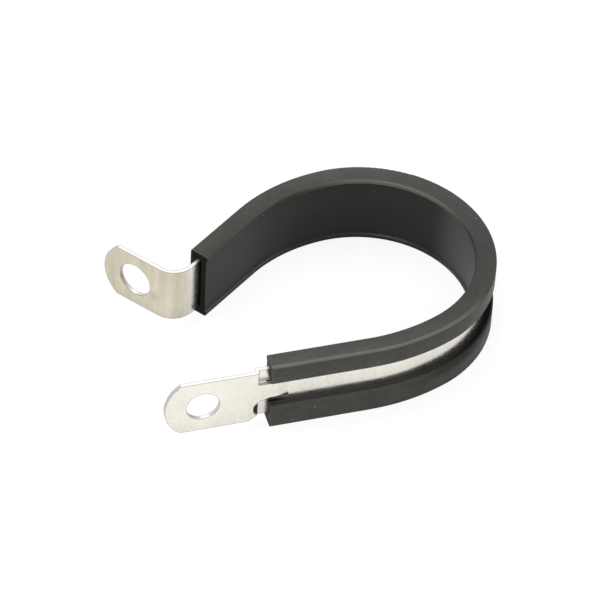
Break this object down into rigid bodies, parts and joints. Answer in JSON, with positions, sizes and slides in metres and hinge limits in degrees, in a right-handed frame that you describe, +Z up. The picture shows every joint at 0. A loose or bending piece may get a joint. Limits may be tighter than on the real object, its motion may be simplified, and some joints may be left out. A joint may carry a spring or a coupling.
{
  "type": "p clip",
  "caption": "Rubber-lined sprung steel P clip: an open loop with a straight tab and a bent tab, each drilled for a screw, for holding a pipe or cable bundle.",
  "frame": {"origin": "on the axis of the round part of the loop, at the middle of the strap's width", "axes": "+X along the straight leg from its tab toward the loop, +Y from the straight leg across the loop, +Z up along the loop's axis, with the clip lying on its side"},
  "size_m": [0.0721, 0.0514, 0.0154],
  "materials": {
    "strap": "plain satin sheet steel with a thin bright plating",
    "liner": "matte extruded EPDM rubber"
  },
  "bodies": {
    "root": {"strap": "strap", "liner": "liner"}
  },
  "joints": []
}
